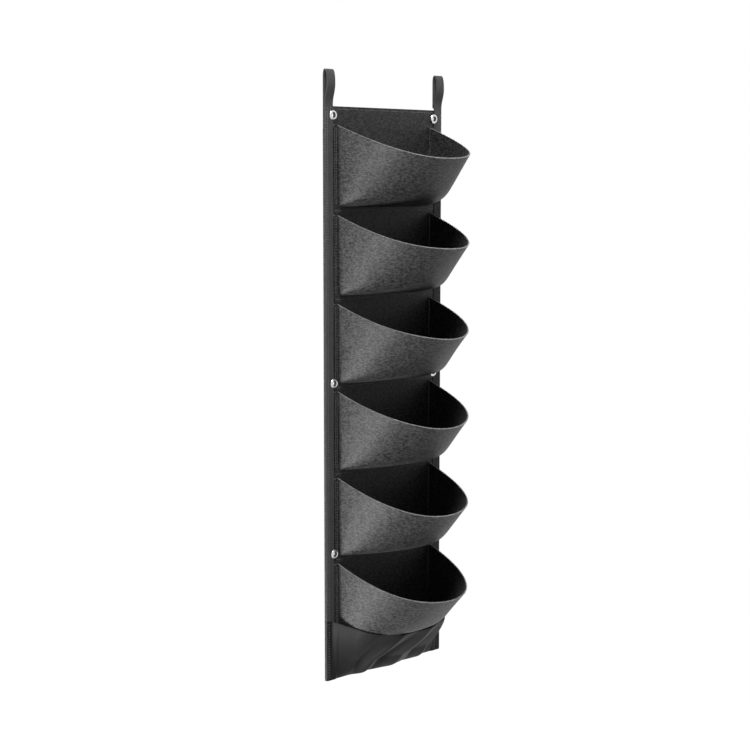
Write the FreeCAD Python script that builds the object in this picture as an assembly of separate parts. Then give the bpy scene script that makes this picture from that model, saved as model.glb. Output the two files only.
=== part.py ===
import FreeCAD, Part
import math
import os

os.makedirs("parts", exist_ok=True)

# Wall hanging planter bag, in millimetres.
# Origin: midway between the two top eyelets, on the wall plane (y = 0). +Z up, the front faces -Y.

# Panel and layers, from the wall forward
PANEL_WIDTH = 300.0
PANEL_HEIGHT = 1050.0
TOP_EDGE_Z = 16.0
BACKING_THICK = 0.6
PANEL_FELT_THICK = 3.0
POCKET_FELT_THICK = 2.4
TAPE_WIDTH = 20.0
TAPE_THICK = 2.0
SKIRT_THICK = 0.8
BOTTOM_EDGE_Z = TOP_EDGE_Z - PANEL_HEIGHT
HALF_WIDTH = PANEL_WIDTH / 2
FELT_FRONT_Y = -(BACKING_THICK + PANEL_FELT_THICK)
TAPE_FRONT_Y = FELT_FRONT_Y - TAPE_THICK
FLANGE_FRONT_Y = FELT_FRONT_Y - POCKET_FELT_THICK
TAPE_INNER_X = HALF_WIDTH - TAPE_WIDTH
CUT_OVERRUN = 1.0

# Pockets: all six alike, one above the other
POCKET_COUNT = 6
POCKET_PITCH = 160.0
FIRST_RIM_Z = -17.0
POCKET_HEIGHT = 145.0
RIM_SAG = 60.0
RIM_DEPTH = 178.0
RIM_HALF_WIDTH = 122.0
RIM_FOOT_X = 118.0
RIM_BELLY_Y = -8.0
BASE_HALF_WIDTH = 119.0
BASE_FOOT_X = 117.0
BASE_DEPTH = 9.0
LOW_RISE = 7.0
LOW_HALF_WIDTH = 120.0
LOW_DEPTH = 58.0
SHOULDER_RISE = 22.0
SHOULDER_HALF_WIDTH = 121.0
SHOULDER_DEPTH = 110.0
BOTTOM_FLANGE = 12.0
FLANGE_GAP = 0.3
FLANGE_OUTER_X = TAPE_INNER_X - FLANGE_GAP
FRONT_RISE = POCKET_HEIGHT - RIM_SAG
POCKET_FLARE = (RIM_DEPTH - SHOULDER_DEPTH) / (FRONT_RISE - SHOULDER_RISE)

# Drip skirt round the lowest pocket
SKIRT_TOP_SIDE_Z = -922.0
SKIRT_TOP_FRONT_Z = -946.0
SKIRT_FOOT_X = 139.0
SKIRT_FRONT_DEPTH = 92.0
SKIRT_BASE_DEPTH = 11.0
SKIRT_FULL_RISE = 32.0
SKIRT_FULL_DEPTH = 46.0
SKIRT_HEM = 12.0
SKIRT_OVERRUN = 10.0
SKIRT_SIDE_FULLNESS = 1.5
SKIRT_BASE_BELLY = 2.0
SKIRT_FULL_BELLY = 8.0
SKIRT_TOP_BELLY = 14.0

# Eyelets
EYELET_X = 129.5
EYELET_Z = {"top": 0.0, "middle": -481.0, "lower": -797.0}
EYELET_HOLE_R = 4.5
EYELET_BARREL_R = 5.1
EYELET_FLANGE_R = 8.75
EYELET_FLANGE_THICK = 1.4
EYELET_ROUND = 0.6
WASHER_R = 8.0
PUNCH_CLEARANCE = 0.05

# Hanging loops, measured from the fold at the top edge
LOOP_HEIGHT = 65.0
FOLD_Y = -2.5
FOLD_Z = TOP_EDGE_Z + 3.2
FOLD_R = 2.4
LOOP_TOP_Z = TOP_EDGE_Z + LOOP_HEIGHT
LOOP_BULGE_Y = -13.0
LOOP_EYE_BOTTOM_Z = FOLD_Z + 13.0
LOOP_TAIL = 40.0
LOOP_TAIL_INSET = 8.0
LOOP_BACK_Y = -0.1
LOOP_NECK = 4.8
LOOP_SHOULDER_DROP = 5.0
LOOP_SHOULDER_SETBACK = 3.4
LOOP_BULGE_RISE = 4.0
LOOP_EYE_FLOOR = 1.6

# Sewing thread, drawn as thin straight runs along each seam
THREAD_WIDE = 0.9
THREAD_HIGH = 0.5
SEAM_ROWS_X = (122.5, 126.5)
TAPE_ROWS_X = (143.5, 147.5)
TOP_ROW_DROP = 5.0
BOTTOM_ROW_DROP = 6.5
TACK_DROPS = (3.0, 5.5)
TACK_INSET = 3.0
SEAM_END = 4.0
TAPE_ROW_TOP_DROP = 8.0
TAPE_ROW_SKIRT_GAP = 2.0
SKIRT_ROW_END = 3.0
TOP_ROW_END = 1.0
THREAD_CLEARANCE = 0.6


def save(node, shapes):
    """Write the solids of one named piece."""
    solids = [solid for shape in shapes for solid in shape.Solids]
    whole = solids[0] if len(solids) == 1 else Part.makeCompound(solids)
    whole.exportStep("parts/" + node + ".step")
    volume = sum(solid.Volume for solid in solids)
    valid = all(solid.isValid() for solid in solids)
    print(node, len(solids), "solids", round(volume / 1000.0, 2), "cm3", "valid" if valid else "NOT VALID")


def block(x0, x1, y0, y1, z0, z1):
    """A box between two corners given in any order."""
    low = FreeCAD.Vector(min(x0, x1), min(y0, y1), min(z0, z1))
    return Part.makeBox(abs(x1 - x0), abs(y1 - y0), abs(z1 - z0), low)


def post(x, z, radius, y_back, y_front):
    """A round bar along Y."""
    return Part.makeCylinder(radius, y_back - y_front, FreeCAD.Vector(x, y_back, z), FreeCAD.Vector(0, -1, 0))


def mirrored(shape):
    """The same shape on the other side of the middle plane."""
    return shape.mirror(FreeCAD.Vector(0, 0, 0), FreeCAD.Vector(1, 0, 0))


def eyelet_places():
    """Every eyelet centre as (x, z)."""
    return [(side * EYELET_X, z) for z in EYELET_Z.values() for side in (-1, 1)]


def punched(shape, radius):
    """The shape with a round hole at every eyelet."""
    reach = 40.0
    for x, z in eyelet_places():
        shape = shape.cut(post(x, z, radius, reach, -reach))
    return shape


def belly_section(z, half_width, foot_x, back_y, belly_y, front_y):
    """A closed D outline at one height: straight at the back, widest at belly_y, rounded to the front."""
    points = []
    steps = 24
    rear = (back_y - belly_y) / math.sqrt(1.0 - (foot_x / half_width) ** 2)
    first = -math.acos(foot_x / half_width)
    for i in range(steps + 1):
        turn = first + (math.pi - 2 * first) * i / steps
        reach = (belly_y - front_y) if math.sin(turn) > 0 else rear
        points.append(FreeCAD.Vector(half_width * math.cos(turn), belly_y - reach * math.sin(turn), z))
    curve = Part.BSplineCurve()
    curve.interpolate(points)
    back = Part.makeLine(points[-1], points[0])
    return Part.Wire([curve.toShape(), back])


def above_slope(back_y, back_z, front_y, front_z):
    """Everything above a sloping plane, to trim a rim."""
    reach_y = -320.0
    room = 400.0
    slope = (front_z - back_z) / (front_y - back_y)
    far_z = back_z + slope * (reach_y - back_y)
    near_z = back_z + slope * (room - back_y)
    corners = [(room, near_z), (reach_y, far_z), (reach_y, back_z + room), (room, back_z + room)]
    points = [FreeCAD.Vector(-room, y, z) for y, z in corners]
    face = Part.Face(Part.makePolygon(points + points[:1]))
    return face.extrude(FreeCAD.Vector(2 * room, 0, 0))


def upward_thickness(thick, flare):
    """The height that a sheet takes up where its wall leans out by flare for each unit it rises."""
    return thick * math.hypot(flare, 1.0) / flare


def rim_z(index):
    """Height of the rim ends of one pocket, counted from the top."""
    return FIRST_RIM_Z - POCKET_PITCH * index


def pocket_body(rim, shrink, lift, back_y):
    """The full scoop of a pocket, up past its rim, drawn in by shrink and raised by lift."""
    foot = rim - POCKET_HEIGHT + lift
    belly = (RIM_BELLY_Y - FELT_FRONT_Y) / FRONT_RISE
    base = belly_section(foot, BASE_HALF_WIDTH - shrink, BASE_FOOT_X - shrink, back_y,
                         FELT_FRONT_Y - BASE_DEPTH / 3, FELT_FRONT_Y - BASE_DEPTH)
    sections = [base]
    for rise, half_width, foot_x, depth in (
            (LOW_RISE, LOW_HALF_WIDTH, BASE_FOOT_X, LOW_DEPTH),
            (SHOULDER_RISE, SHOULDER_HALF_WIDTH, BASE_FOOT_X, SHOULDER_DEPTH),
            (POCKET_HEIGHT, RIM_HALF_WIDTH, RIM_FOOT_X, RIM_DEPTH + POCKET_FLARE * RIM_SAG)):
        sections.append(belly_section(foot + rise, half_width - shrink, foot_x - shrink, back_y,
                                      FELT_FRONT_Y + belly * rise, -depth))
    return Part.makeLoft(sections, True, True)


def pocket(index):
    """One felt sheet: a scoop with flat allowances round its sides and bottom."""
    rim = rim_z(index)
    foot = rim - POCKET_HEIGHT
    lift = upward_thickness(POCKET_FELT_THICK, POCKET_FLARE)
    wall = pocket_body(rim, 0.0, 0.0, FELT_FRONT_Y)
    wall = wall.cut(pocket_body(rim, POCKET_FELT_THICK, lift, FELT_FRONT_Y + CUT_OVERRUN))
    side = block(BASE_FOOT_X, FLANGE_OUTER_X, FELT_FRONT_Y, FLANGE_FRONT_Y, foot, rim)
    bottom = block(-FLANGE_OUTER_X, FLANGE_OUTER_X, FELT_FRONT_Y, FLANGE_FRONT_Y,
                   foot - BOTTOM_FLANGE, foot + lift)
    behind = block(-HALF_WIDTH, HALF_WIDTH, 0.0, FELT_FRONT_Y, foot - BOTTOM_FLANGE, rim)
    sheet = wall.fuse([side, mirrored(side), bottom]).cut(behind)
    sheet = sheet.cut(above_slope(FELT_FRONT_Y, rim, -RIM_DEPTH, rim - RIM_SAG))
    return punched(sheet, EYELET_BARREL_R + PUNCH_CLEARANCE).removeSplitter()


def back_panel():
    """The felt sheet behind everything, recessed for the loop tails."""
    sheet = block(-HALF_WIDTH, HALF_WIDTH, -BACKING_THICK, FELT_FRONT_Y, BOTTOM_EDGE_Z, TOP_EDGE_Z)
    for tail in loop_tails():
        sheet = sheet.cut(tail)
    return punched(sheet, EYELET_BARREL_R + PUNCH_CLEARANCE)


def waterproof_backing():
    """The thin sheet on the wall side, open at the washers and the loop tails."""
    sheet = block(-HALF_WIDTH, HALF_WIDTH, 0.0, -BACKING_THICK, BOTTOM_EDGE_Z, TOP_EDGE_Z)
    for tail in loop_tails():
        sheet = sheet.cut(tail)
    return punched(sheet, WASHER_R + PUNCH_CLEARANCE)


def loop_tails():
    """The ends of the two loops, let into the back of the panel."""
    tail = block(TAPE_INNER_X + LOOP_TAIL_INSET, HALF_WIDTH, 0.0, -TAPE_THICK,
                 TOP_EDGE_Z - LOOP_TAIL, TOP_EDGE_Z)
    return [mirrored(tail), tail]


def side_tape():
    """The right-hand webbing along the panel's edge."""
    run = block(TAPE_INNER_X, HALF_WIDTH, FELT_FRONT_Y, TAPE_FRONT_Y, BOTTOM_EDGE_Z, TOP_EDGE_Z)
    return punched(run, EYELET_BARREL_R + PUNCH_CLEARANCE)


def side_profile(points_and_bends):
    """A closed outline in the YZ plane from (start, bend or None, end) runs."""
    edges = []
    for start, bend, end in points_and_bends:
        a = FreeCAD.Vector(0, *start)
        b = FreeCAD.Vector(0, *end)
        if bend is None:
            edges.append(Part.makeLine(a, b))
        else:
            edges.append(Part.Arc(a, FreeCAD.Vector(0, *bend), b).toShape())
    return Part.Face(Part.Wire(edges))


def hanging_loop():
    """The right-hand loop: a flat rear leg, a front leg that bows forward, both closed at the fold."""
    back_y = LOOP_BACK_Y
    neck_y = FOLD_Y - FOLD_R
    neck_z = FOLD_Z + LOOP_NECK
    shoulder_z = LOOP_TOP_Z - LOOP_SHOULDER_DROP
    shoulder_y = LOOP_BULGE_Y + LOOP_SHOULDER_SETBACK
    middle_y = (back_y + shoulder_y) / 2
    bulge_z = (neck_z + shoulder_z) / 2 + LOOP_BULGE_RISE
    outer = side_profile([
        ((back_y, FOLD_Z), None, (back_y, shoulder_z)),
        ((back_y, shoulder_z), (middle_y, LOOP_TOP_Z), (shoulder_y, shoulder_z)),
        ((shoulder_y, shoulder_z), (LOOP_BULGE_Y, bulge_z), (neck_y, neck_z)),
        ((neck_y, neck_z), None, (neck_y, FOLD_Z)),
        ((neck_y, FOLD_Z), (FOLD_Y, FOLD_Z - FOLD_R), (back_y, FOLD_Z)),
    ])
    eye_back_y = back_y - TAPE_THICK
    eye_front_y = eye_back_y - LOOP_EYE_FLOOR
    inner = side_profile([
        ((eye_back_y, LOOP_EYE_BOTTOM_Z), None, (eye_back_y, shoulder_z)),
        ((eye_back_y, shoulder_z), (middle_y, LOOP_TOP_Z - TAPE_THICK),
         (shoulder_y + TAPE_THICK, shoulder_z)),
        ((shoulder_y + TAPE_THICK, shoulder_z), (LOOP_BULGE_Y + TAPE_THICK, bulge_z),
         (eye_front_y, LOOP_EYE_BOTTOM_Z)),
        ((eye_front_y, LOOP_EYE_BOTTOM_Z), None, (eye_back_y, LOOP_EYE_BOTTOM_Z)),
    ])
    strap = outer.cut(inner).extrude(FreeCAD.Vector(TAPE_WIDTH, 0, 0))
    strap.translate(FreeCAD.Vector(TAPE_INNER_X, 0, 0))
    return strap


def skirt_body(shrink, lift, back_y):
    """The full form of the drip skirt, up past its rim, drawn in by shrink and raised by lift."""
    full_z = BOTTOM_EDGE_Z + SKIRT_FULL_RISE
    top_z = SKIRT_TOP_SIDE_Z + SKIRT_OVERRUN
    flare = (SKIRT_FRONT_DEPTH - SKIRT_FULL_DEPTH) / (SKIRT_TOP_FRONT_Z - full_z)
    top_depth = SKIRT_FULL_DEPTH + flare * (top_z - full_z)
    foot = SKIRT_FOOT_X - shrink
    half = foot + SKIRT_SIDE_FULLNESS
    base = belly_section(BOTTOM_EDGE_Z + lift, half, foot, back_y, TAPE_FRONT_Y - SKIRT_BASE_BELLY,
                         -SKIRT_BASE_DEPTH)
    full = belly_section(full_z + lift, half, foot, back_y, TAPE_FRONT_Y - SKIRT_FULL_BELLY,
                         -SKIRT_FULL_DEPTH)
    top = belly_section(top_z + lift, half, foot, back_y, TAPE_FRONT_Y - SKIRT_TOP_BELLY, -top_depth)
    return Part.makeLoft([base, full, top], True, True)


def drip_skirt():
    """The waterproof sheet round the lowest pocket, with flat hems on the tapes and the bottom edge."""
    base_flare = (SKIRT_FULL_DEPTH - SKIRT_BASE_DEPTH) / SKIRT_FULL_RISE
    lift = upward_thickness(SKIRT_THICK, base_flare)
    wall = skirt_body(0.0, 0.0, TAPE_FRONT_Y)
    wall = wall.cut(skirt_body(SKIRT_THICK, lift, TAPE_FRONT_Y + CUT_OVERRUN))
    side = block(SKIRT_FOOT_X - SKIRT_THICK, HALF_WIDTH, TAPE_FRONT_Y, TAPE_FRONT_Y - SKIRT_THICK,
                 BOTTOM_EDGE_Z, SKIRT_TOP_SIDE_Z)
    inner_x = TAPE_INNER_X - FLANGE_GAP
    bottom = block(-inner_x, inner_x, FELT_FRONT_Y, TAPE_FRONT_Y - SKIRT_THICK,
                   BOTTOM_EDGE_Z, BOTTOM_EDGE_Z + SKIRT_HEM)
    sheet = wall.fuse([side, mirrored(side), bottom])
    sheet = sheet.cut(above_slope(TAPE_FRONT_Y, SKIRT_TOP_SIDE_Z, -SKIRT_FRONT_DEPTH, SKIRT_TOP_FRONT_Z))
    return sheet.removeSplitter()


def eyelet(x, z, seat_y):
    """A flanged barrel set from the front, its flange rounded."""
    front_y = seat_y - EYELET_FLANGE_THICK
    flange = post(x, z, EYELET_FLANGE_R, seat_y, front_y)
    rims = [edge for edge in flange.Edges if edge.Closed and abs(edge.CenterOfMass.y - front_y) < 0.01]
    flange = flange.makeFillet(EYELET_ROUND, rims)
    ring = flange.fuse(post(x, z, EYELET_BARREL_R, 0.0, seat_y))
    return ring.cut(post(x, z, EYELET_HOLE_R, CUT_OVERRUN, front_y - CUT_OVERRUN))


def washer(x, z):
    """The ring that the barrel is clenched over, flush with the backing."""
    ring = post(x, z, WASHER_R, 0.0, -BACKING_THICK)
    hole = post(x, z, EYELET_BARREL_R + PUNCH_CLEARANCE, CUT_OVERRUN, -BACKING_THICK - CUT_OVERRUN)
    return ring.cut(hole)


def upright_thread(x, seat_y, z0, z1):
    """A row of stitches running up and down."""
    return block(x - THREAD_WIDE / 2, x + THREAD_WIDE / 2, seat_y, seat_y - THREAD_HIGH, z0, z1)


def level_thread(z, seat_y, x0, x1):
    """A row of stitches running across."""
    return block(x0, x1, seat_y, seat_y - THREAD_HIGH, z - THREAD_WIDE / 2, z + THREAD_WIDE / 2)


def clear_of_eyelets(thread):
    """A thread that stops short of the eyelet flanges."""
    return punched(thread, EYELET_FLANGE_R + THREAD_CLEARANCE)


def pocket_thread(index):
    """Two side rows each side and one bottom row that sew a pocket to the panel."""
    rim = rim_z(index)
    foot = rim - POCKET_HEIGHT
    rows = [upright_thread(side * x, FLANGE_FRONT_Y, foot + SEAM_END, rim - SEAM_END)
            for side in (-1, 1) for x in SEAM_ROWS_X]
    rows.append(level_thread(foot - BOTTOM_ROW_DROP, FLANGE_FRONT_Y, -SEAM_ROWS_X[1], SEAM_ROWS_X[1]))
    return [clear_of_eyelets(row) for row in rows]


save("back_panel", [back_panel()])
save("waterproof_backing", [waterproof_backing()])

tape = side_tape()
tails = loop_tails()
save("left_side_tape", [mirrored(tape), tails[0]])
save("right_side_tape", [tape, tails[1]])

loop = hanging_loop()
save("left_hanging_loop", [mirrored(loop)])
save("right_hanging_loop", [loop])

for number in range(POCKET_COUNT):
    save("pocket_%d" % (number + 1), [pocket(number)])
    save("pocket_%d_thread" % (number + 1), pocket_thread(number))

save("drip_skirt", [drip_skirt()])

for row, height in EYELET_Z.items():
    seat = TAPE_FRONT_Y if row == "top" else FLANGE_FRONT_Y
    save(row + "_eyelets", [eyelet(side * EYELET_X, height, seat) for side in (-1, 1)])
    save(row + "_eyelet_washers", [washer(side * EYELET_X, height) for side in (-1, 1)])

tape_row_low = SKIRT_TOP_SIDE_Z + TAPE_ROW_SKIRT_GAP
tape_row_high = TOP_EDGE_Z - TAPE_ROW_TOP_DROP
tape_rows = [upright_thread(x, TAPE_FRONT_Y, tape_row_low, tape_row_high) for x in TAPE_ROWS_X]
save("left_tape_thread", [mirrored(row) for row in tape_rows])
save("right_tape_thread", tape_rows)

top_row_x = TAPE_INNER_X - TOP_ROW_END
save("top_edge_thread", [level_thread(TOP_EDGE_Z - TOP_ROW_DROP, FELT_FRONT_Y, -top_row_x, top_row_x)])

tacks = [level_thread(TOP_EDGE_Z - drop, TAPE_FRONT_Y, TAPE_INNER_X + TACK_INSET, HALF_WIDTH - TACK_INSET)
         for drop in TACK_DROPS]
save("loop_bar_tacks", [mirrored(tack) for tack in tacks] + tacks)

skirt_seat = TAPE_FRONT_Y - SKIRT_THICK
skirt_rows = [upright_thread(x, skirt_seat, BOTTOM_EDGE_Z + SKIRT_ROW_END, SKIRT_TOP_SIDE_Z - SKIRT_ROW_END)
              for x in TAPE_ROWS_X]
save("skirt_thread", [mirrored(row) for row in skirt_rows] + skirt_rows)
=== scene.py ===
import math

import bmesh
import bpy
from mathutils import Matrix, Vector
from mathutils.geometry import interpolate_bezier


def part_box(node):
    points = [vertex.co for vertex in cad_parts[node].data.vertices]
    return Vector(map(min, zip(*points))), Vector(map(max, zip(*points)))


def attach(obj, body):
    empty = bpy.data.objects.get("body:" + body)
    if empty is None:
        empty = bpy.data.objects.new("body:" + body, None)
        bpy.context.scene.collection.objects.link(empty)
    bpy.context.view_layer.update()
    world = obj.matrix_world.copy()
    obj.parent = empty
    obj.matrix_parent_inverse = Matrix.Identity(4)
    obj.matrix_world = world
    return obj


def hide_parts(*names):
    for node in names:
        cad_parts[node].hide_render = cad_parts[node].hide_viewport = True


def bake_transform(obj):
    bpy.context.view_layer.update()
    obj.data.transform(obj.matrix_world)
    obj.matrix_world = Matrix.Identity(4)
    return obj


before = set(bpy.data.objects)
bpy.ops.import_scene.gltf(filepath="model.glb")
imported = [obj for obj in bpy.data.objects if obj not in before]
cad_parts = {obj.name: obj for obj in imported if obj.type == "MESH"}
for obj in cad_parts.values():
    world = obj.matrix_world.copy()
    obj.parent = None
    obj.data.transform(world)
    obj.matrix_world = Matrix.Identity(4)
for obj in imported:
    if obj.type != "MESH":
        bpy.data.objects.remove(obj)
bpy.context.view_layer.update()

# Camera, on the bag's left and a little above its middle, as in the three-quarter view of the photograph.
# The picture is 750 pixels square, and the middle of the panel falls on PANEL_PIXEL.
PICTURE = 750
LENS_PIXELS = 1600
PANEL_PIXEL = (382.9, 392)
CAMERA_DISTANCE = 3.0
CAMERA_YAW = math.radians(44.5)
CAMERA_RISE = math.radians(7.6)
PANEL_LOW, PANEL_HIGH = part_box("back_panel")
PANEL_MIDDLE = Vector((0, 0, (PANEL_LOW.z + PANEL_HIGH.z) / 2))
towards_bag = Vector((math.sin(CAMERA_YAW), math.cos(CAMERA_YAW), -math.tan(CAMERA_RISE))).normalized()
camera_right = towards_bag.cross(Vector((0, 0, 1))).normalized()
camera_up = camera_right.cross(towards_bag)
pixel_size = CAMERA_DISTANCE / LENS_PIXELS
aim = (PANEL_MIDDLE + camera_right * (PICTURE / 2 - PANEL_PIXEL[0]) * pixel_size
       + camera_up * (PANEL_PIXEL[1] - PICTURE / 2) * pixel_size)
bpy.ops.object.select_all(action="DESELECT")
bpy.ops.object.camera_add(location=PANEL_MIDDLE - towards_bag * CAMERA_DISTANCE)
camera = bpy.context.object
camera.rotation_euler = (aim - camera.location).to_track_quat("-Z", "Y").to_euler()
camera.data.lens = camera.data.sensor_width * LENS_PIXELS / PICTURE
bpy.context.scene.camera = camera
bpy.context.scene.view_settings.view_transform = "Standard"


# Studio: a pale floor well below the hanging bag, white behind it, a broad lamp low on the left, and weaker
# ones above and behind. The floor shows as white and still takes the bag's shadow.
def seen_directly(tree):
    """1 for rays from the camera and for mirrored or transmitted ones, 0 for rays that only carry light."""
    path = tree.nodes.new("ShaderNodeLightPath")
    first = tree.nodes.new("ShaderNodeMath")
    first.operation = "MAXIMUM"
    tree.links.new(path.outputs["Is Camera Ray"], first.inputs[0])
    tree.links.new(path.outputs["Is Glossy Ray"], first.inputs[1])
    both = tree.nodes.new("ShaderNodeMath")
    both.operation = "MAXIMUM"
    tree.links.new(first.outputs[0], both.inputs[0])
    tree.links.new(path.outputs["Is Transmission Ray"], both.inputs[1])
    return both.outputs[0]


FLOOR_DROP = 1.60
FLOOR_SIZE = 14.0
FLOOR_GLOW = 0.98
FLOOR_SHADE = 0.25
ROOM_LIGHT = 0.06
bpy.ops.object.select_all(action="DESELECT")
bpy.ops.mesh.primitive_plane_add(size=FLOOR_SIZE, location=(0, 0, PANEL_LOW.z - FLOOR_DROP))
floor = bpy.context.object
floor.name = "studio_floor"
floor_finish = bpy.data.materials.new("studio_floor_paint")
floor_finish.use_nodes = True
tree = floor_finish.node_tree
tree.nodes.clear()
matt = tree.nodes.new("ShaderNodeBsdfDiffuse")
matt.inputs["Color"].default_value = (FLOOR_SHADE, FLOOR_SHADE, FLOOR_SHADE, 1)
glow = tree.nodes.new("ShaderNodeEmission")
glow_level = tree.nodes.new("ShaderNodeMath")
glow_level.operation = "MULTIPLY"
glow_level.inputs[1].default_value = FLOOR_GLOW
tree.links.new(seen_directly(tree), glow_level.inputs[0])
tree.links.new(glow_level.outputs[0], glow.inputs["Strength"])
paint = tree.nodes.new("ShaderNodeAddShader")
tree.links.new(matt.outputs[0], paint.inputs[0])
tree.links.new(glow.outputs[0], paint.inputs[1])
tree.links.new(paint.outputs[0], tree.nodes.new("ShaderNodeOutputMaterial").inputs["Surface"])
floor.data.materials.append(floor_finish)

world = bpy.data.worlds.new("studio")
bpy.context.scene.world = world
world.use_nodes = True
tree = world.node_tree
sky_level = tree.nodes.new("ShaderNodeMapRange")
tree.links.new(seen_directly(tree), sky_level.inputs["Value"])
sky_level.inputs["To Min"].default_value = ROOM_LIGHT
sky_level.inputs["To Max"].default_value = 1.0
tree.nodes["Background"].inputs["Color"].default_value = (1, 1, 1, 1)
tree.links.new(sky_level.outputs["Result"], tree.nodes["Background"].inputs["Strength"])


def studio_lamp(name, azimuth, elevation, distance, size, power):
    """A square soft lamp aimed at the middle of the bag; azimuth 0 is the front, negative the left."""
    turn = math.radians(azimuth)
    rise = math.radians(elevation)
    away = Vector((math.sin(turn) * math.cos(rise), -math.cos(turn) * math.cos(rise), math.sin(rise)))
    bpy.ops.object.select_all(action="DESELECT")
    bpy.ops.object.light_add(type="AREA", location=PANEL_MIDDLE + away * distance)
    lamp = bpy.context.object
    lamp.name = name
    lamp.rotation_euler = (-away).to_track_quat("-Z", "Y").to_euler()
    lamp.data.size = size
    lamp.data.energy = power


studio_lamp("left_lamp", azimuth=-100, elevation=-25, distance=3.6, size=0.9, power=185)
studio_lamp("top_lamp", azimuth=-44, elevation=60, distance=3.2, size=1.0, power=84)
studio_lamp("rear_lamp", azimuth=140, elevation=22, distance=3.4, size=1.8, power=40)


# Felt back panel: one sheet of 3 mm needle-punched felt, the full height of the bag, that carries the rest.
# It is die cut, sewn to the backing along the top edge, and holed for the six eyelets.
MM = 0.001


def cut_sheet(name, columns, rows, place):
    """A sheet as a grid of that many faces, each point put where place(column, row) says."""
    bpy.ops.object.select_all(action="DESELECT")
    bpy.ops.mesh.primitive_grid_add(x_subdivisions=columns, y_subdivisions=rows, size=1)
    sheet = bpy.context.object
    sheet.name = name
    for vertex in sheet.data.vertices:
        column = round((vertex.co.x + 0.5) * columns)
        row = round((vertex.co.y + 0.5) * rows)
        vertex.co = place(column, row)
    return sheet


def apply_modifier(piece, kind, **settings):
    """Add one modifier to a piece and apply it."""
    bpy.ops.object.select_all(action="DESELECT")
    piece.select_set(True)
    bpy.context.view_layer.objects.active = piece
    modifier = piece.modifiers.new(kind.title(), kind)
    for key, value in settings.items():
        setattr(modifier, key, value)
    bpy.ops.object.modifier_apply(modifier=modifier.name)


def shade(piece, finish, crease=50):
    """Give a piece its finish, unless it has its own, smooth except at edges sharper than crease degrees."""
    if finish is not None:
        piece.data.materials.clear()
        piece.data.materials.append(finish)
    bpy.ops.object.select_all(action="DESELECT")
    piece.select_set(True)
    bpy.context.view_layer.objects.active = piece
    bpy.ops.object.shade_smooth_by_angle(angle=math.radians(crease))


def cut_away(piece, tool):
    """Cut a tool's shape out of a piece, and put the tool away."""
    apply_modifier(piece, "BOOLEAN", object=tool, operation="DIFFERENCE", solver="EXACT")
    bpy.data.objects.remove(tool)


PUNCH_FACETS = 40
PUNCH_REACH = 60 * MM


def punch(piece, centres, radius):
    """Cut a round hole through a piece, front to back, at each (x, z)."""
    for x, z in centres:
        bpy.ops.object.select_all(action="DESELECT")
        bpy.ops.mesh.primitive_cylinder_add(vertices=PUNCH_FACETS, radius=radius, depth=PUNCH_REACH,
                                            location=(x, 0, z), rotation=(math.pi / 2, 0, 0))
        cut_away(piece, bpy.context.object)


def add_node(tree, kind, inputs, **settings):
    """Add a node, with each input set to a value or linked to another output; gives its first output."""
    made = tree.nodes.new("ShaderNode" + kind)
    for key, value in settings.items():
        setattr(made, key, value)
    for key, value in inputs.items():
        if isinstance(value, bpy.types.NodeSocket):
            tree.links.new(value, made.inputs[key])
        else:
            made.inputs[key].default_value = value
    return made.outputs[0]


COOL_TINT = 1.02


def grey(level):
    """A grey that is a trace cool."""
    return (level, level, level * COOL_TINT, 1)


def shade_ramp(tree, factor, stops):
    """Turn a factor into a grey, through (position, level) stops."""
    ramp = tree.nodes.new("ShaderNodeValToRGB")
    tree.links.new(factor, ramp.inputs["Fac"])
    elements = ramp.color_ramp.elements
    for index, (position, level) in enumerate(stops):
        element = elements[index] if index < 2 else elements.new(position)
        element.position = position
        element.color = grey(level)
    return ramp.outputs["Color"]


def new_finish(name, **fixed):
    """A material with the shader values that are the same all over it."""
    finish = bpy.data.materials.new(name)
    finish.use_nodes = True
    surface = finish.node_tree.nodes["Principled BSDF"]
    for key, value in fixed.items():
        surface.inputs[key.replace("_", " ")].default_value = value
    return finish, finish.node_tree, surface


# The felt's colour is a mix of clouds, fibres and fluff, spread between its darkest and its lightest grey.
FELT_CLOUDS, FELT_FIBRES, FELT_FLUFF, FELT_LIFT = 0.1, 0.65, 0.2, 0.025
FELT_DARKEST, FELT_LIGHTEST = 0.44, 0.56
FIBRE_LIE = (1, 1, 2.4)
FLUFF_HEIGHT = 0.4


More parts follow.
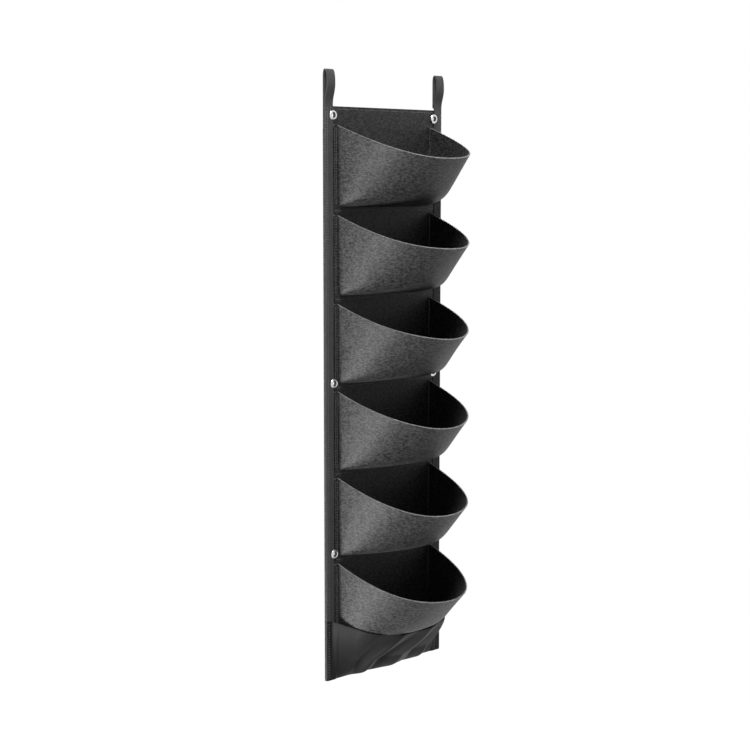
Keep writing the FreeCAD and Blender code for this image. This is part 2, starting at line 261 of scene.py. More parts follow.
def felt_finish(name, dark, light):
    """Needle-punched felt: short matted fibres in mixed greys, clouded where the web is thicker."""
    finish, tree, surface = new_finish(name, Roughness=0.5, Sheen_Weight=0.03, Sheen_Roughness=0.6,
                                       Specular_IOR_Level=0.28)
    place = tree.nodes.new("ShaderNodeTexCoord").outputs["Object"]
    drawn = add_node(tree, "Mapping", {"Vector": place, "Scale": FIBRE_LIE})
    clouds = add_node(tree, "TexNoise", {"Vector": place, "Scale": 75, "Detail": 3, "Roughness": 0.6})
    fibres = add_node(tree, "TexNoise", {"Vector": drawn, "Scale": 190, "Detail": 3, "Roughness": 0.6,
                                         "Distortion": 0.6})
    fluff = add_node(tree, "TexNoise", {"Vector": place, "Scale": 1500, "Detail": 3, "Roughness": 0.7})
    coarse = add_node(tree, "Math", {0: clouds, 1: FELT_CLOUDS, 2: FELT_LIFT}, operation="MULTIPLY_ADD")
    matted = add_node(tree, "Math", {0: fibres, 1: FELT_FIBRES, 2: coarse}, operation="MULTIPLY_ADD")
    mixed = add_node(tree, "Math", {0: fluff, 1: FELT_FLUFF, 2: matted}, operation="MULTIPLY_ADD")
    middle = ((FELT_DARKEST + FELT_LIGHTEST) / 2, (dark + light) / 2)
    colour = shade_ramp(tree, mixed, [(FELT_DARKEST, dark), (FELT_LIGHTEST, light), middle])
    tree.links.new(colour, surface.inputs["Base Color"])
    height = add_node(tree, "Math", {0: fluff, 1: FLUFF_HEIGHT, 2: fibres}, operation="MULTIPLY_ADD")
    bump = add_node(tree, "Bump", {"Height": height, "Strength": 0.6, "Distance": 1.0 * MM})
    tree.links.new(bump, surface.inputs["Normal"])
    return finish


PANEL_FELT = 3.0 * MM
PANEL_FRONT = PANEL_LOW.y
EYELET_HOLE = 5.15 * MM
EYELET_ROWS = ("top", "middle", "lower")


def eyelet_centres(row):
    """The two (x, z) centres of one row of eyelets."""
    low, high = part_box(row + "_eyelets")
    reach = (high.z - low.z) / 2
    return [(low.x + reach, low.z + reach), (high.x - reach, low.z + reach)]


all_eyelets = [centre for row in EYELET_ROWS for centre in eyelet_centres(row)]
PANEL_COLUMNS, PANEL_ROWS = 60, 210
PANEL_RIPPLE = 0.25 * MM
RIPPLES_ACROSS, RIPPLES_ALONG, RIPPLE_START = 9, 31, 2


def panel_place(column, row):
    """A point of the panel's middle layer, very slightly uneven as hung felt is."""
    across = column / PANEL_COLUMNS
    along = row / PANEL_ROWS
    x = PANEL_LOW.x + (PANEL_HIGH.x - PANEL_LOW.x) * across
    z = PANEL_LOW.z + (PANEL_HIGH.z - PANEL_LOW.z) * along
    ripple = math.sin(RIPPLES_ACROSS * across + RIPPLE_START) * math.sin(RIPPLES_ALONG * along) * PANEL_RIPPLE
    return Vector((x, (PANEL_LOW.y + PANEL_HIGH.y) / 2 + ripple, z))


TAIL_LENGTH = 40 * MM
TAIL_LOW_Z = PANEL_HIGH.z - TAIL_LENGTH
TAIL_INNER_X = 138 * MM
TAIL_DEPTH = 2.0 * MM
RECESS_OVERRUN = 5 * MM


def recess_tails(piece):
    """Let a layer in for the two loop ends sewn behind the top corners."""
    outer = PANEL_HIGH.x + RECESS_OVERRUN
    high = PANEL_HIGH.z + RECESS_OVERRUN
    for side in (-1, 1):
        middle = (side * (TAIL_INNER_X + outer) / 2, 0, (TAIL_LOW_Z + high) / 2)
        room = (outer - TAIL_INNER_X, TAIL_DEPTH * 2, high - TAIL_LOW_Z)
        bpy.ops.object.select_all(action="DESELECT")
        bpy.ops.mesh.primitive_cube_add(size=1, location=middle, scale=room)
        cut_away(piece, bpy.context.object)


panel_felt = felt_finish("panel_felt", dark=0.002, light=0.060)
panel = cut_sheet("felt_back_panel", PANEL_COLUMNS, PANEL_ROWS, panel_place)
apply_modifier(panel, "SOLIDIFY", thickness=PANEL_FELT, offset=0)
punch(panel, all_eyelets, EYELET_HOLE)
recess_tails(panel)
shade(panel, panel_felt)
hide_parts("back_panel")
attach(panel, "planter")


# Waterproof backing: a thin black coated nylon sheet behind the felt that keeps the wall dry.
# It is sewn down with the pockets and tapes, so every seam shows on it, and it lies flat against the wall.
NYLON_DARKER, NYLON_LIGHTER = 0.8, 1.25
WEAVE_HEIGHT = 0.15


def nylon_finish(name, level):
    """Coated nylon: nearly black, with a soft even shine broken by fine creasing."""
    finish, tree, surface = new_finish(name, Roughness=0.55, Specular_IOR_Level=0.16)
    place = tree.nodes.new("ShaderNodeTexCoord").outputs["Object"]
    clouds = add_node(tree, "TexNoise", {"Vector": place, "Scale": 28, "Detail": 4, "Roughness": 0.55})
    colour = shade_ramp(tree, clouds, [(0.3, level * NYLON_DARKER), (0.7, level * NYLON_LIGHTER)])
    tree.links.new(colour, surface.inputs["Base Color"])
    gloss = add_node(tree, "MapRange", {"Value": clouds, "To Min": 0.46, "To Max": 0.62})
    tree.links.new(gloss, surface.inputs["Roughness"])
    creases = add_node(tree, "TexNoise", {"Vector": place, "Scale": 130, "Detail": 5, "Roughness": 0.6,
                                          "Distortion": 0.8})
    weave = add_node(tree, "TexNoise", {"Vector": place, "Scale": 1800, "Detail": 1})
    height = add_node(tree, "Math", {0: weave, 1: WEAVE_HEIGHT, 2: creases}, operation="MULTIPLY_ADD")
    bump = add_node(tree, "Bump", {"Height": height, "Strength": 0.3, "Distance": 0.5 * MM})
    tree.links.new(bump, surface.inputs["Normal"])
    return finish


BACKING_LOW, BACKING_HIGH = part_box("waterproof_backing")
BACKING_THICK = 0.5 * MM
BACKING_PUFF = 0.35 * MM
WASHER_HOLE = 8.05 * MM
POCKET_COUNT = 6
POCKET_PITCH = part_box("pocket_1")[0].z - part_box("pocket_2")[0].z
FIRST_SEAM_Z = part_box("pocket_1_thread")[0].z


def backing_place(column, row):
    """A point of the backing, a little full between the seams that cross it under each pocket."""
    across = column / PANEL_COLUMNS
    along = row / PANEL_ROWS
    x = BACKING_LOW.x + (BACKING_HIGH.x - BACKING_LOW.x) * across
    z = BACKING_LOW.z + (BACKING_HIGH.z - BACKING_LOW.z) * along
    from_seam = (z - FIRST_SEAM_Z) / POCKET_PITCH
    puff = abs(math.sin(math.pi * from_seam)) * math.sin(math.pi * across) * BACKING_PUFF
    return Vector((x, (BACKING_LOW.y + BACKING_HIGH.y) / 2 + puff, z))


nylon = nylon_finish("coated_nylon", 0.030)
backing = cut_sheet("waterproof_back_sheet", PANEL_COLUMNS, PANEL_ROWS, backing_place)
apply_modifier(backing, "SOLIDIFY", thickness=BACKING_THICK, offset=0)
punch(backing, all_eyelets, WASHER_HOLE)
recess_tails(backing)
shade(backing, nylon)
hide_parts("waterproof_backing")
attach(backing, "planter")


# Side straps: one length of 20 mm woven webbing down each edge of the panel, carried up past the top edge,
# turned over into a hanging loop and sewn down behind. The loop folds at the top edge.
def webbing_finish(name, length):
    """Flat polypropylene webbing: short floats in staggered rows, a firm selvedge, a slight shine."""
    finish, tree, surface = new_finish(name, Roughness=0.7, Sheen_Weight=0.1, Specular_IOR_Level=0.35)
    layout = tree.nodes.new("ShaderNodeTexCoord").outputs["UV"]
    sized = add_node(tree, "Mapping", {"Vector": layout, "Scale": (length / MM, STRAP_WIDTH / MM, 1)})
    weave = {"Vector": sized, "Scale": 1.0, "Brick Width": 2.6, "Row Height": 1.25, "Mortar Size": 0.12,
             "Mortar Smooth": 0.9, "Color1": grey(0.105), "Color2": grey(0.08), "Mortar": grey(0.03)}
    floats = add_node(tree, "TexBrick", weave, offset=0.5).node
    place = tree.nodes.new("ShaderNodeTexCoord").outputs["Object"]
    wear = add_node(tree, "TexNoise", {"Vector": place, "Scale": 60, "Detail": 3})
    light = add_node(tree, "MapRange", {"Value": wear, "To Min": 0.75, "To Max": 1.2})
    shaded = tree.nodes.new("ShaderNodeMix")
    shaded.data_type = "RGBA"
    shaded.blend_type = "MULTIPLY"
    shaded.inputs["Factor"].default_value = 1.0
    tree.links.new(floats.outputs["Color"], shaded.inputs[6])
    tree.links.new(light, shaded.inputs[7])
    tree.links.new(shaded.outputs[2], surface.inputs["Base Color"])
    bump = add_node(tree, "Bump", {"Height": floats.outputs["Fac"], "Strength": 0.5, "Distance": 0.3 * MM},
                    invert=True)
    tree.links.new(bump, surface.inputs["Normal"])
    return finish


STRAP_WIDTH = 20 * MM
STRAP_THICK = 1.8 * MM
STRAP_COLUMNS = 8
STRAP_INNER_X = PANEL_HIGH.x - STRAP_WIDTH
STRAP_FRONT_Y = PANEL_FRONT - 1.0 * MM
TAPE_STEP, LOOP_STEP = 7 * MM, 5 * MM
EDGE_WAVE, EDGE_WAVES = 0.35 * MM, 38
SELVEDGE_ROUND = 0.5 * MM
SELVEDGE_ANGLE = math.radians(60)
TAIL_Y = -1.0 * MM
LOOP_BACK_Y = -1.1 * MM
EDGE_Z = PANEL_HIGH.z
FOLD_START = Vector((0, STRAP_FRONT_Y, EDGE_Z + 3 * MM))
BULGE = Vector((0, -11.2 * MM, EDGE_Z + 40 * MM))
LOOP_TOP = Vector((0, -4.9 * MM, EDGE_Z + 64 * MM))
LOOP_REAR = Vector((0, LOOP_BACK_Y, EDGE_Z + 50 * MM))
UP = Vector((0, 0, MM))
FORWARD = Vector((0, -MM, 0))
# Each bend of the loop: its start, the handles at its start and its end, its end, and its number of points.
LOOP_BENDS = (
    (FOLD_START, 14 * UP, -15 * UP, BULGE, 14),
    (BULGE, 13 * UP, 4.2 * FORWARD, LOOP_TOP, 12),
    (LOOP_TOP, -3 * FORWARD, 7 * UP, LOOP_REAR, 10),
)
SIDES = ((-1, "left"), (1, "right"))


def straight_run(start, end, step):
    """Points from start towards end, without the end itself."""
    count = max(1, round((end - start).length / step))
    return [start.lerp(end, index / count) for index in range(count)]


def strap_path():
    """The strap's middle line seen from the side: up the front, over the loop, down to its sewn end."""
    bottom = Vector((0, STRAP_FRONT_Y, PANEL_LOW.z))
    tail_end = Vector((0, TAIL_Y, TAIL_LOW_Z))
    points = straight_run(bottom, FOLD_START, TAPE_STEP)
    for start, leaving, arriving, end, count in LOOP_BENDS:
        points += interpolate_bezier(start, start + leaving, end + arriving, end, count)[:-1]
    points += straight_run(LOOP_REAR, Vector((0, LOOP_BACK_Y, EDGE_Z)), LOOP_STEP)
    points += straight_run(Vector((0, TAIL_Y, EDGE_Z)), tail_end, LOOP_STEP)
    return points + [tail_end]


def reach_along(line):
    """How far along a line each of its points is."""
    reach = [0.0]
    for before, after in zip(line, line[1:]):
        reach.append(reach[-1] + (after - before).length)
    return reach


strap_line = strap_path()
strap_reach = reach_along(strap_line)
STRAP_LENGTH = strap_reach[-1]
STRAP_ROWS = len(strap_line) - 1
LAST_LOOP_ROW = max(index for index, point in enumerate(strap_line) if point.z > EDGE_Z)
webbing = webbing_finish("woven_webbing", STRAP_LENGTH)


def strap(side, name):
    """One strap; side is -1 on the left and 1 on the right."""

    def place(column, row):
        """A point of the strap, whose inner edge wavers a little, as sewn webbing does."""
        across = column / STRAP_COLUMNS
        inner = STRAP_INNER_X if row <= LAST_LOOP_ROW else TAIL_INNER_X
        x = inner + (PANEL_HIGH.x - inner) * across
        point = strap_line[row]
        wave = EDGE_WAVE * math.sin(point.z * EDGE_WAVES + side) if point.z < EDGE_Z else 0.0
        return Vector((side * (x + wave * (1 - across)), point.y, point.z))

    piece = cut_sheet(name, STRAP_COLUMNS, STRAP_ROWS, place)
    layout = piece.data.uv_layers.active.data
    for loop in piece.data.loops:
        index = loop.vertex_index
        column = index % (STRAP_COLUMNS + 1)
        row = index // (STRAP_COLUMNS + 1)
        layout[loop.index].uv = (strap_reach[row] / STRAP_LENGTH, column / STRAP_COLUMNS)
    apply_modifier(piece, "SOLIDIFY", thickness=STRAP_THICK, offset=0, use_even_offset=True)
    apply_modifier(piece, "BEVEL", width=SELVEDGE_ROUND, segments=2, limit_method="ANGLE",
                   angle_limit=SELVEDGE_ANGLE)
    return piece


for side, word in SIDES:
    piece = strap(side, word + "_strap")
    punch(piece, all_eyelets, EYELET_HOLE)
    shade(piece, webbing)
    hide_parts(word + "_side_tape", word + "_hanging_loop")
    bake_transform(piece)


# Pockets: six alike, each a fan-shaped piece of 2.4 mm felt bent into a scoop.
# Its allowance is turned outwards and sewn flat to the panel down both sides and along the bottom.
# The rim is a bare cut edge. Its up-facing faces get a far lighter felt, partly the paler cut fibres and
# partly painted light from above.
POCKET_FELT = 2.4 * MM
POCKET_FOOT_X = 117 * MM
POCKET_HEIGHT = 145 * MM
RIM_SAG = 60 * MM
RIM_DEPTH = 178 * MM
FRONT_SLOPE = 1.0
BOTTOM_DEPTH = 87 * MM
BOTTOM_ROUND = 6.5 * MM
BELLY = 2 * MM
FOOT_SPREAD = 1 * MM
SIDE_FULLNESS, RIM_FULLNESS = 0.8 * MM, 1.4 * MM
LEAST_FULLNESS = 0.05
# How far out each column or row of a sewn allowance lies, in millimetres, from its cut edge inwards.
SIDE_ALLOWANCE = (10.8, 8.2, 5.8, 3.6, 1.8)
BOTTOM_ALLOWANCE = (12.0, 8.4, 5.0, 2.3)
WALL_COLUMNS, WALL_ROWS = 72, 36
SIDE_CROWDING, FOOT_CROWDING = 0.06, 1.4
# Sizes of the soft dents and of the rim's wave, how many go round, and how they shift from pocket to pocket.
BROAD_DENT, BROAD_WAVES, BROAD_SHIFT = 2.2 * MM, 1.4, 0.31
FINE_DENT, FINE_WAVES, FINE_SHIFT, FINE_LEAN = 1.0 * MM, 3.3, 0.17, 2
RIM_WAVE, RIM_WAVES, RIM_SHIFT = 1.2 * MM, 1.7, 0.23
RIM_STEPS = 24
RIM_FACES_UP = 0.3
LAYER_GAP = 0.05 * MM
POCKET_BACK_Y = PANEL_FRONT - POCKET_FELT / 2 - LAYER_GAP


def pocket_section(share, rise, slack):
    """A point (x, y) of the pocket wall, a share of the way round from the left and a rise over its foot."""
    up = rise / POCKET_HEIGHT
    settle = 1 - math.exp(-rise / BOTTOM_ROUND)
    foot = POCKET_FOOT_X + FOOT_SPREAD * up
    half = foot + SIDE_FULLNESS * settle + RIM_FULLNESS * up
    belly = BELLY * settle
    depth = FRONT_SLOPE * rise + BOTTOM_DEPTH * settle
    first = math.acos(foot / half)
    turn = math.pi + first - (math.pi + 2 * first) * share
    if math.sin(turn) > 0:
        reach = depth - belly + slack
    else:
        reach = belly / max(math.sqrt(1 - (foot / half) ** 2), LEAST_FULLNESS)
    return half * math.cos(turn), POCKET_BACK_Y - belly - reach * math.sin(turn)


def pocket_slack(share, up, number):
    """How far the wall stands off its regular shape: soft dents that differ from pocket to pocket."""
    broad = math.sin(2 * math.pi * (BROAD_WAVES * share + BROAD_SHIFT * number)) * math.sin(math.pi * up)
    fine = math.sin(2 * math.pi * (FINE_WAVES * share - FINE_SHIFT * number) + FINE_LEAN * up)
    return BROAD_DENT * broad + FINE_DENT * fine * 4 * up * (1 - up)


def rim_rise(share, number):
    """How high the wall goes at this share of the way round: the rim sinks towards the front."""
    rise = POCKET_HEIGHT - RIM_SAG
    for _ in range(RIM_STEPS):
        depth = POCKET_BACK_Y - pocket_section(share, rise, 0.0)[1]
        rise = POCKET_HEIGHT - RIM_SAG * depth / (RIM_DEPTH + POCKET_BACK_Y)
    wave = math.sin(2 * math.pi * (RIM_WAVES * share + RIM_SHIFT * number)) * math.sin(math.pi * share)
    return rise + RIM_WAVE * wave


def wall_share(index):
    """How far round the wall a column stands; columns crowd towards the sides, where the felt turns most."""
    share = index / WALL_COLUMNS
    return share - SIDE_CROWDING * math.sin(2 * math.pi * share)


def allowance_shift(column, wall_columns, allowance):
    """How far sideways of a wall's end a column of its turned-out allowance lies; none within the wall."""
    count = len(allowance)
    if column < count:
        return -allowance[column] * MM
    if column > count + wall_columns:
        return allowance[2 * count + wall_columns - column] * MM
    return 0.0


def felt_pocket(number):
    """One pocket as a cut sheet: allowances first, then the wall from its foot to its rim."""
    rim_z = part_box("pocket_%d" % number)[1].z
    foot_z = rim_z - POCKET_HEIGHT
    sides = len(SIDE_ALLOWANCE)
    bottoms = len(BOTTOM_ALLOWANCE)
    rises = [rim_rise(wall_share(index), number) for index in range(WALL_COLUMNS + 1)]

    def place(column, row):
        """A point of the pocket's middle layer."""
        index = min(max(column - sides, 0), WALL_COLUMNS)
        share = wall_share(index)
        up = max(row - bottoms, 0) / WALL_ROWS
        rise = rises[index] * up ** FOOT_CROWDING
        drop = BOTTOM_ALLOWANCE[row] * MM if row < bottoms else 0.0
        x, y = pocket_section(share, rise, pocket_slack(share, up, number))
        return Vector((x + allowance_shift(column, WALL_COLUMNS, SIDE_ALLOWANCE), y, foot_z + rise - drop))

    piece = cut_sheet("felt_pocket_%d" % number, 2 * sides + WALL_COLUMNS, bottoms + WALL_ROWS, place)
    piece.data.materials.append(pocket_felt)
    piece.data.materials.append(cut_rim_painted_light)
    apply_modifier(piece, "SUBSURF", levels=1, render_levels=1)
    apply_modifier(piece, "SOLIDIFY", thickness=POCKET_FELT, offset=0, material_offset_rim=1)
    # Only faces that look upwards keep the lighter rim felt, which is partly painted light. Cut edges facing
    # sideways or down stay dark.
    for face in piece.data.polygons:
        if face.normal.z < RIM_FACES_UP:
            face.material_index = 0
    return piece


pocket_felt = felt_finish("pocket_felt", dark=0.001, light=0.058)
# The rim felt is far lighter than the pocket felt: partly the paler cut fibres, partly painted light on the
# rim's top.
cut_rim_painted_light = felt_finish("felt_cut_rim_painted_light", dark=0.20, light=0.36)
for number in range(1, POCKET_COUNT + 1):
    piece = felt_pocket(number)
    pocket_low, pocket_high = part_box("pocket_%d" % number)
    punch(piece, [(x, z) for x, z in all_eyelets if pocket_low.z < z < pocket_high.z], EYELET_HOLE)
    shade(piece, None)
    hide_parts("pocket_%d" % number)
    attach(piece, "planter")


# Drip skirt: a strip of black coated nylon round the foot of the lowest pocket that catches what drains out.
# It is sewn to the tapes at both sides and closes on the panel along the bottom edge. Its top edge lies close
# round the pocket, and the cloth below hangs in slack folds.
SKIRT_LOW, SKIRT_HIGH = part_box("drip_skirt")
SKIRT_THICK = 0.7 * MM
SKIRT_FOOT_X = 139 * MM
SKIRT_DROP = 24 * MM
SKIRT_REACH = 86 * MM
SKIRT_EASE = 3.5 * MM
EDGE_RISE, EDGE_STEPS = 25 * MM, 40
SKIRT_HEM = (11.0, 7.5, 4.5, 2.0)
SKIRT_COLUMNS, SKIRT_ROWS = 132, 44
TAPE_FRONT = PANEL_FRONT - 2.0 * MM
SKIRT_BACK_Y = TAPE_FRONT - SKIRT_THICK / 2 - LAYER_GAP
HEM_BACK_Y = PANEL_FRONT - SKIRT_THICK / 2 - LAYER_GAP
HEM_STEP = 3 * MM
HEM_CLEAR = 1.5 * MM
# The cloth bridges the corner between the tape and the pocket, and meets the wall this far out.
SKIRT_BRIDGE = 46 * MM
# It is slack between hem and top edge and sags over its lower part; both die away at the sewn sides.
SKIRT_SLACK, SLACK_ROUND = 9 * MM, 0.8
SKIRT_SAG, SAG_PART = 8 * MM, 0.35
SIDE_FLATNESS = 6
# The folds are at their fullest half way up, and die away over the first sixth above the hem.
FOLD_LOW, FOLD_SPAN, FOLD_ROUND = 0.12, 0.84, 0.7
FOLD_ONSET = 6
# Each fold: where it meets the top edge, where it meets the bottom, how far it stands out, how wide it is.
SKIRT_FOLDS = (
    (-88, -104, 5, 12), (-72, -97, -8, 9), (-40, -84, 14, 9), (-8, -58, -12, 12), (28, -12, 8, 13),
    (58, 34, -8, 11), (80, 70, 8, 10), (104, 106, -7, 9),
)


def skirt_top_z(y):
    """Height of the skirt's top edge, which sinks from the tapes towards the front."""
    return SKIRT_HIGH.z - SKIRT_DROP * (SKIRT_BACK_Y - y) / SKIRT_REACH


def round_the_pocket():
    """Places (x, y) just outside the lowest pocket's wall, at the height of the skirt's top edge."""
    foot_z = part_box("pocket_%d" % POCKET_COUNT)[1].z - POCKET_HEIGHT
    places = []
    for index in range(WALL_COLUMNS + 1):
        share = index / WALL_COLUMNS
        rise = EDGE_RISE
        for _ in range(EDGE_STEPS):
            x, y = pocket_section(share, rise, 0.0)
            rise = (rise + max(skirt_top_z(y) - foot_z, 0.0)) / 2
        places.append(Vector((x, y)))
    return [place * (1 + SKIRT_EASE / place.length) for place in places]


def evenly_along(line, count):
    """That many equal steps along a line of places."""
    reach = reach_along(line)
    spaced = []
    leg = 0
    for index in range(count + 1):
        wanted = reach[-1] * index / count
        while leg < len(line) - 2 and reach[leg + 1] < wanted:
            leg += 1
        part = (wanted - reach[leg]) / (reach[leg + 1] - reach[leg])
        spaced.append(line[leg].lerp(line[leg + 1], part))
    return spaced


beside_pocket = [place for place in round_the_pocket() if place.y < -SKIRT_BRIDGE]
tape_ends = [Vector((side * SKIRT_FOOT_X, SKIRT_BACK_Y)) for side in (-1, 1)]
skirt_edge = evenly_along(tape_ends[:1] + beside_pocket + tape_ends[1:], SKIRT_COLUMNS)


def skirt_fold(x, up):
    """How far the slack cloth stands out at x, part of the way up."""
    total = 0.0
    for top, bottom, size, width in SKIRT_FOLDS:
        line = bottom + (top - bottom) * up
        total += size / (1 + ((x / MM - line) / width) ** 2)
    return total * MM * math.sin(math.pi * (FOLD_LOW + FOLD_SPAN * up)) ** FOLD_ROUND


def skirt_place(column, row):
    """A point of the skirt: flat hems on the tapes, slack folds between."""
    hems = len(SKIRT_HEM)
    index = min(max(column - hems, 0), SKIRT_COLUMNS)
    share = index / SKIRT_COLUMNS
    up = row / SKIRT_ROWS
    edge = skirt_edge[index]
    top = Vector((edge.x, edge.y, skirt_top_z(edge.y)))
    hem_x = SKIRT_FOOT_X * (2 * share - 1)
    off_tape = min(max((STRAP_INNER_X - HEM_CLEAR - abs(hem_x)) / HEM_STEP, 0.0), 1.0)
    hem = Vector((hem_x, SKIRT_BACK_Y + (HEM_BACK_Y - SKIRT_BACK_Y) * off_tape, SKIRT_LOW.z))
    point = hem.lerp(top, up)
    inside = 1 - abs(2 * share - 1) ** SIDE_FLATNESS
    slack = SKIRT_SLACK * math.sin(math.pi * up) ** SLACK_ROUND
    outward = Vector((0, -1)).lerp(edge.normalized(), up)
    stand_off = (slack + skirt_fold(point.x, up) * min(1.0, up * FOLD_ONSET)) * inside
    point.x += outward.x * stand_off + allowance_shift(column, SKIRT_COLUMNS, SKIRT_HEM)
    point.y += outward.y * stand_off
    point.z -= SKIRT_SAG * inside * math.sin(math.pi * min(1.0, up / SAG_PART))
    return point


skirt_nylon = nylon_finish("skirt_nylon", 0.012)
skirt = cut_sheet("drip_skirt_sheet", 2 * len(SKIRT_HEM) + SKIRT_COLUMNS, SKIRT_ROWS, skirt_place)
apply_modifier(skirt, "SUBSURF", levels=1, render_levels=1)
apply_modifier(skirt, "SOLIDIFY", thickness=SKIRT_THICK, offset=0)
shade(skirt, skirt_nylon)
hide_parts("drip_skirt")
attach(skirt, "planter")


# Eyelets: six nickel-plated brass rings, pressed through all the layers from the front with a rolled flange.
# The barrel is clenched behind over a plain washer.
def nickel_finish(name, dark, light):
    """Nickel plate with faint handling marks."""
    finish, tree, surface = new_finish(name, Metallic=1.0, Roughness=0.25)
    place = tree.nodes.new("ShaderNodeTexCoord").outputs["Object"]
    marks = add_node(tree, "TexNoise", {"Vector": place, "Scale": 900, "Detail": 4, "Roughness": 0.6})
    tree.links.new(shade_ramp(tree, marks, [(0.3, dark), (0.7, light)]), surface.inputs["Base Color"])
    gloss = add_node(tree, "MapRange", {"Value": marks, "To Min": 0.18, "To Max": 0.34})
    tree.links.new(gloss, surface.inputs["Roughness"])
    return finish


RING_STEPS = 48
RING_MERGE = 0.005 * MM
RING_CREASE = 35


def turned_ring(profile, x, z):
    """A ring spun round the line along Y through (x, z), from its closed (radius, y) profile in mm."""
    bpy.ops.object.select_all(action="DESELECT")
    bpy.ops.mesh.primitive_circle_add(vertices=len(profile), radius=1, fill_type="NOTHING")
    ring = bpy.context.object
    for vertex, (radius, y) in zip(ring.data.vertices, profile):
        vertex.co = Vector((x + radius * MM, y * MM, z))
    bpy.ops.object.mode_set(mode="EDIT")
    bpy.ops.mesh.select_all(action="SELECT")
    bpy.ops.mesh.spin(steps=RING_STEPS, angle=2 * math.pi, center=(x, 0, z), axis=(0, 1, 0))
    bpy.ops.mesh.select_all(action="SELECT")
    bpy.ops.mesh.remove_doubles(threshold=RING_MERGE)
    bpy.ops.mesh.normals_make_consistent(inside=False)
    bpy.ops.object.mode_set(mode="OBJECT")
    return ring


def joined(pieces, name):
    """Several meshes as one piece."""
    bpy.ops.object.select_all(action="DESELECT")
    for piece in pieces:
        piece.select_set(True)
    bpy.context.view_layer.objects.active = pieces[0]
    bpy.ops.object.join()
    whole = bpy.context.object
    whole.name = name
    return whole


nickel = nickel_finish("nickel_plate", dark=0.60, light=0.74)
# The inside of each barrel gets a near-black nickel. This is painted shade for the shade inside the hole,
# because the plating there is the same as on the flange.
barrel_painted_shade = nickel_finish("painted_shade_barrel_metal", dark=0.05, light=0.09)
BARREL_OUTER = 5.0 * MM
FLANGE_HEIGHT = 1.4 * MM
for row in EYELET_ROWS:
    centres = eyelet_centres(row)
    seat = (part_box(row + "_eyelets")[0].y + FLANGE_HEIGHT) / MM
    flange = [(4.5, -0.2), (4.5, seat - 0.5), (4.75, seat - 1.1), (5.4, seat - 1.5), (6.4, seat - 1.62),
              (7.4, seat - 1.45), (8.25, seat - 0.95), (8.7, seat - 0.3), (8.5, seat), (5.1, seat),
              (5.1, -0.2)]
    rings = joined([turned_ring(flange, x, z) for x, z in centres], row + "_eyelet_rings")
    shade(rings, nickel, RING_CREASE)
    rings.data.materials.append(barrel_painted_shade)
    # Faces round the hole take the darker nickel, which is painted shade.
    for face in rings.data.polygons:
        if min(math.hypot(face.center.x - x, face.center.z - z) for x, z in centres) < BARREL_OUTER:
            face.material_index = 1
    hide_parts(row + "_eyelets")
    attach(rings, "planter")
    clench = [(5.15, -0.6), (8.0, -0.6), (8.0, -0.15), (7.8, 0.0), (6.6, 0.0), (6.3, 0.35), (5.7, 0.6),
              (5.0, 0.5), (4.55, 0.1), (4.5, -0.25), (5.15, -0.25)]
    washers = joined([turned_ring(clench, x, z) for x, z in centres], row + "_clenched_washers")
    shade(washers, nickel, RING_CREASE)
    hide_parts(row + "_eyelet_washers")
    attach(washers, "planter")


# Seams: bonded polyester thread, lock stitched right through, so each row shows on the front and the back.
# Two rows run down each side of a pocket and one under it, two down each tape and each side of the skirt, and
# one along the top edge. Bar tacks hold the loops.
STITCH_PITCH = 5.0 * MM
STITCH_LENGTH = 3.8 * MM
STITCH_WIDE = 0.9 * MM
STITCH_HIGH = 0.7 * MM
STITCH_CREASE = 80
STITCH_SINK = 0.1 * MM
BACK_FACE_Y = 0.1 * MM
SEAM_ROWS_X = (122.5 * MM, 126.5 * MM)
TAPE_ROWS_X = (143.5 * MM, 147.5 * MM)
POCKET_SEAM_Y = PANEL_FRONT - POCKET_FELT
TAPE_SEAM_Y = TAPE_FRONT + STITCH_SINK
SEAM_FOOT = 11 * MM
ROW_INSET = 0.45 * MM
TACK_INSET = 3 * MM
EYELET_KEEP_OUT = 9.5 * MM


def thread_finish(name):
    """Twisted mid grey thread."""
    finish, tree, surface = new_finish(name, Roughness=0.6, Sheen_Weight=0.1)
    place = tree.nodes.new("ShaderNodeTexCoord").outputs["Object"]
    strands = add_node(tree, "TexNoise", {"Vector": place, "Scale": 1400, "Detail": 3})
    tree.links.new(shade_ramp(tree, strands, [(0.35, 0.20), (0.65, 0.36)]), surface.inputs["Base Color"])
    bump = add_node(tree, "Bump", {"Height": strands, "Strength": 0.4, "Distance": 0.15 * MM})
    tree.links.new(bump, surface.inputs["Normal"])
    return finish


def stitch_mesh():
    """One stitch along Z: a short plump float that dips into the cloth at both ends."""
    bpy.ops.object.select_all(action="DESELECT")
    bpy.ops.mesh.primitive_uv_sphere_add(segments=8, ring_count=6, radius=0.5,
                                         scale=(STITCH_WIDE, STITCH_HIGH, STITCH_LENGTH))
    float_piece = bpy.context.object
    bpy.ops.object.transform_apply(location=False, rotation=False, scale=True)
    mesh = float_piece.data
    bpy.data.objects.remove(float_piece)
    return mesh


def row_up(x, y, low, high):
    """Places of the stitches of an upright row."""
    count = int((high - low) / STITCH_PITCH)
    return [(x, y, low + (index + 0.5) * (high - low) / count, False) for index in range(count)]


def row_across(z, y, left, right):
    """Places of the stitches of a level row."""
    count = int((right - left) / STITCH_PITCH)
    return [(left + (index + 0.5) * (right - left) / count, y, z, True) for index in range(count)]


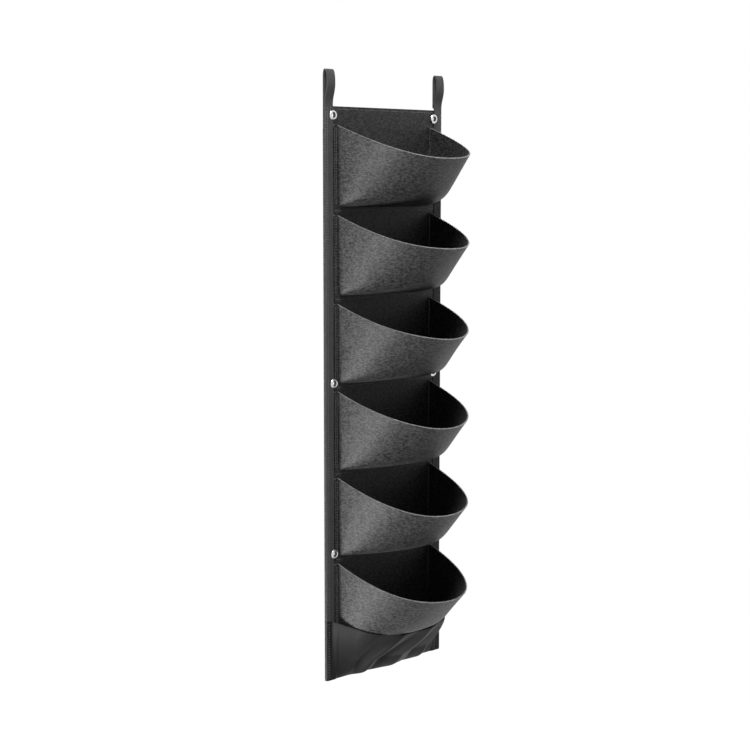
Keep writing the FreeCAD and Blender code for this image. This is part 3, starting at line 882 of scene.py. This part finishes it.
def sew(name, node, places):
    """One piece of thread work with a copy of the stitch at each place that no eyelet covers."""
    work = bmesh.new()
    for x, y, z, level in places:
        if any(math.hypot(x - ex, z - ez) < EYELET_KEEP_OUT for ex, ez in all_eyelets):
            continue
        first = len(work.verts)
        work.from_mesh(stitch)
        work.verts.ensure_lookup_table()
        turn = Matrix.Rotation(math.pi / 2, 4, "Y") if level else Matrix.Identity(4)
        move = Matrix.Translation((x, y, z)) @ turn
        for vertex in work.verts[first:]:
            vertex.co = move @ vertex.co
    mesh = bpy.data.meshes.new(name)
    work.to_mesh(mesh)
    work.free()
    piece = bpy.data.objects.new(name, mesh)
    bpy.context.scene.collection.objects.link(piece)
    shade(piece, thread, STITCH_CREASE)
    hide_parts(node)
    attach(piece, "planter")


thread = thread_finish("twisted_thread")
stitch = stitch_mesh()
for number in range(1, POCKET_COUNT + 1):
    low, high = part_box("pocket_%d_thread" % number)
    foot = low.z + SEAM_FOOT
    places = []
    for y in (POCKET_SEAM_Y, BACK_FACE_Y):
        for x in SEAM_ROWS_X:
            places += row_up(x, y, foot, high.z)
            places += row_up(-x, y, foot, high.z)
        places += row_across(low.z + ROW_INSET, y, low.x, high.x)
    sew("pocket_%d_seams" % number, "pocket_%d_thread" % number, places)
for side, word in SIDES:
    low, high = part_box(word + "_tape_thread")
    places = []
    for x in TAPE_ROWS_X:
        places += row_up(side * x, TAPE_SEAM_Y, low.z, high.z)
        places += row_up(side * x, BACK_FACE_Y, low.z, TAIL_LOW_Z)
    sew(word + "_tape_seams", word + "_tape_thread", places)
low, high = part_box("top_edge_thread")
row_z = (low.z + high.z) / 2
sew("top_edge_seam", "top_edge_thread", row_across(row_z, PANEL_FRONT, low.x, high.x)
    + row_across(row_z, BACK_FACE_Y, low.x, high.x))
low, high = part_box("loop_bar_tacks")
places = []
for z in (low.z + ROW_INSET, high.z - ROW_INSET):
    for left, right in ((low.x, -STRAP_INNER_X - TACK_INSET), (STRAP_INNER_X + TACK_INSET, high.x)):
        places += row_across(z, TAPE_SEAM_Y, left, right)
        places += row_across(z, BACK_FACE_Y, left, right)
sew("loop_bar_tack_seams", "loop_bar_tacks", places)
low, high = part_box("skirt_thread")
places = []
for x in TAPE_ROWS_X:
    for side in (-1, 1):
        places += row_up(side * x, SKIRT_BACK_Y - SKIRT_THICK / 2, low.z, high.z)
        places += row_up(side * x, BACK_FACE_Y, low.z, high.z)
sew("skirt_seams", "skirt_thread", places)
